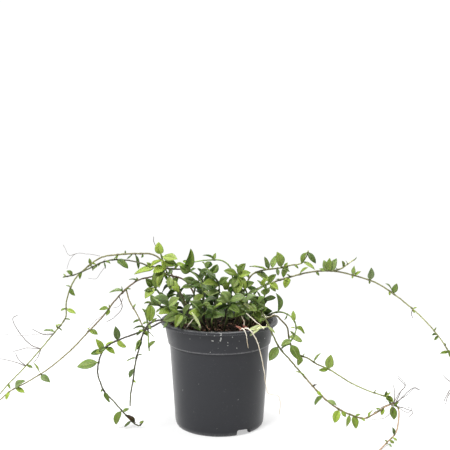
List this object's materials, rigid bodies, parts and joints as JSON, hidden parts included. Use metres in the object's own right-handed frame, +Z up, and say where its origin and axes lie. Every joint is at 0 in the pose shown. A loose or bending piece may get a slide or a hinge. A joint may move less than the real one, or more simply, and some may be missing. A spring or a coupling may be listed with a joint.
{
  "type": "potted periwinkle",
  "caption": "Trailing evergreen periwinkle in a round dark grey nursery pot: leafy crown, arching runners and aerial roots over a compost fill.",
  "frame": {"origin": "middle of the pot's foot ring, on the surface the pot stands on", "axes": "+Z up the pot's axis, +X along the longest spread of the shoots, -Y is the front of the pot"},
  "size_m": [0.6296, 0.2097, 0.2372],
  "materials": {
    "pot_plastic": "satin dark grey moulded polypropylene",
    "bark_compost": "coarse dark bark and fibre compost, matt",
    "periwinkle_shoot": "thin waxy evergreen leaves on green to brown stems",
    "pale_root": "pale fibrous root, matt"
  },
  "bodies": {
    "root": {"pot": "pot_plastic", "potting_soil": "bark_compost", "root_strand_long": "pale_root", "root_strand_short": "pale_root", "root_strand_pale_loop": "pale_root", "trailing_shoot_left_high_arch": "periwinkle_shoot", "trailing_shoot_left_dark": "periwinkle_shoot", "trailing_shoot_left_long": "periwinkle_shoot", "trailing_shoot_left_hanging_loop": "periwinkle_shoot", "trailing_shoot_left_front": "periwinkle_shoot", "trailing_shoot_left_rim_cluster": "periwinkle_shoot", "trailing_shoot_right_high_arch": "periwinkle_shoot", "trailing_shoot_right_upper": "periwinkle_shoot", "trailing_shoot_right_middle": "periwinkle_shoot", "trailing_shoot_right_rooting": "periwinkle_shoot", "trailing_shoot_right_rim": "periwinkle_shoot", "rear_shoot_left": "periwinkle_shoot", "rear_shoot_middle": "periwinkle_shoot", "rear_shoot_right": "periwinkle_shoot", "crown_shoot_left_tall": "periwinkle_shoot", "crown_shoot_left_inner": "periwinkle_shoot", "crown_shoot_left_dark_leaves": "periwinkle_shoot", "crown_shoot_arching_tip": "periwinkle_shoot", "crown_shoot_middle_front": "periwinkle_shoot", "crown_shoot_middle_thin": "periwinkle_shoot", "crown_shoot_right_cluster": "periwinkle_shoot", "crown_shoot_right": "periwinkle_shoot", "crown_shoot_right_low": "periwinkle_shoot", "crown_shoot_front_pale": "periwinkle_shoot", "crown_shoot_left_front_rim": "periwinkle_shoot", "crown_shoot_left_rim_low": "periwinkle_shoot", "crown_shoot_front_low_left": "periwinkle_shoot", "crown_shoot_front_low_middle": "periwinkle_shoot", "crown_shoot_front_low_right": "periwinkle_shoot", "crown_shoot_left_side": "periwinkle_shoot", "crown_shoot_back_left": "periwinkle_shoot", "crown_shoot_back_middle": "periwinkle_shoot", "crown_shoot_back_right": "periwinkle_shoot", "crown_shoot_right_side": "periwinkle_shoot", "crown_shoot_centre": "periwinkle_shoot"}
  },
  "joints": []
}
